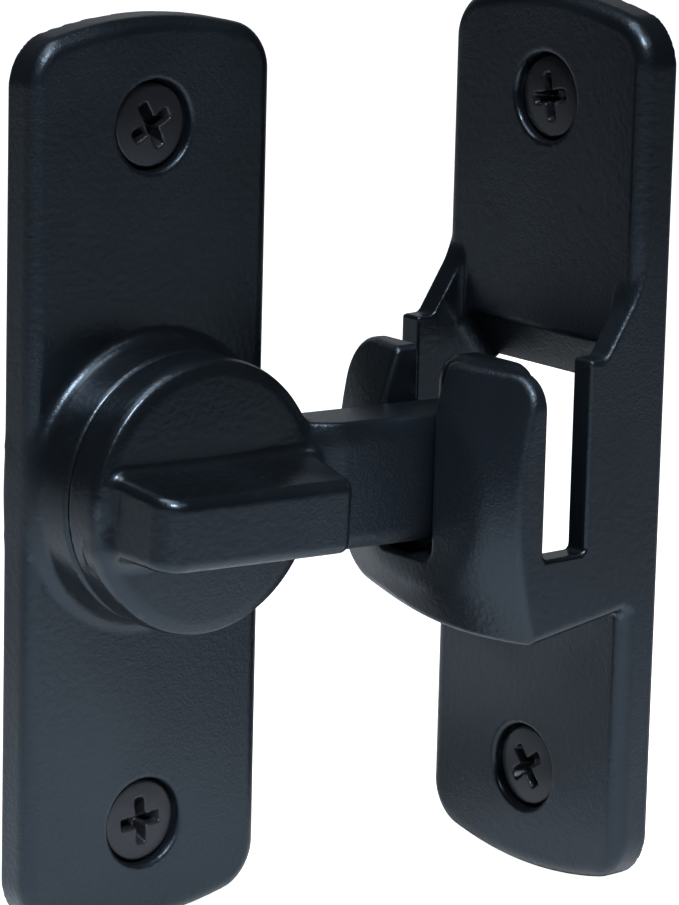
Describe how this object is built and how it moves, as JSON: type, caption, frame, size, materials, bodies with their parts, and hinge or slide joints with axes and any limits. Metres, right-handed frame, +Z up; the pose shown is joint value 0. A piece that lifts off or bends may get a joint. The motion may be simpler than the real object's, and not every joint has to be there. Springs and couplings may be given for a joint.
{
  "type": "flip bolt latch",
  "caption": "Surface-mounted latch: a thumb-turned bar with a T-shaped head on a door plate flips into an open-topped fork on a keeper plate at right angles to it.",
  "frame": {"origin": "centre of the overall box, screws included", "axes": "+Z up along both plates, +X from the pivot along the bar towards the wall, +Y from the latch into the door; the bolt turns about an axis along Y"},
  "size_m": [0.0746, 0.0408, 0.0948],
  "materials": {
    "black_coat": "satin black powder coat over a zinc casting, fine orange peel, blue-black sheen",
    "black_screw": "black plated steel, slightly glossier than the castings",
    "bare_steel": "plain bright steel, hidden inside the pivot",
    "nylon": "natural off-white nylon"
  },
  "bodies": {
    "plates": {"bolt_plate": "black_coat", "bolt_plate_screw_upper": "black_screw", "bolt_plate_screw_lower": "black_screw", "friction_washer": "nylon", "wave_washer": "bare_steel", "stop_pin": "bare_steel", "detent_ball_upper": "bare_steel", "detent_ball_lower": "bare_steel", "detent_spring_upper": "bare_steel", "detent_spring_lower": "bare_steel", "keeper_plate": "black_coat", "keeper_screw_upper": "black_screw", "keeper_screw_lower": "black_screw"},
    "bolt": {"flip_bolt": "black_coat", "retaining_washer": "bare_steel", "pivot_screw": "bare_steel"}
  },
  "joints": [
    {"name": "flip", "type": "hinge", "parent": "plates", "child": "bolt", "pos_m": [-0.02225, 0, -0.00045], "axis": [0, -1, 0], "range_deg": [0, 180]}
  ]
}
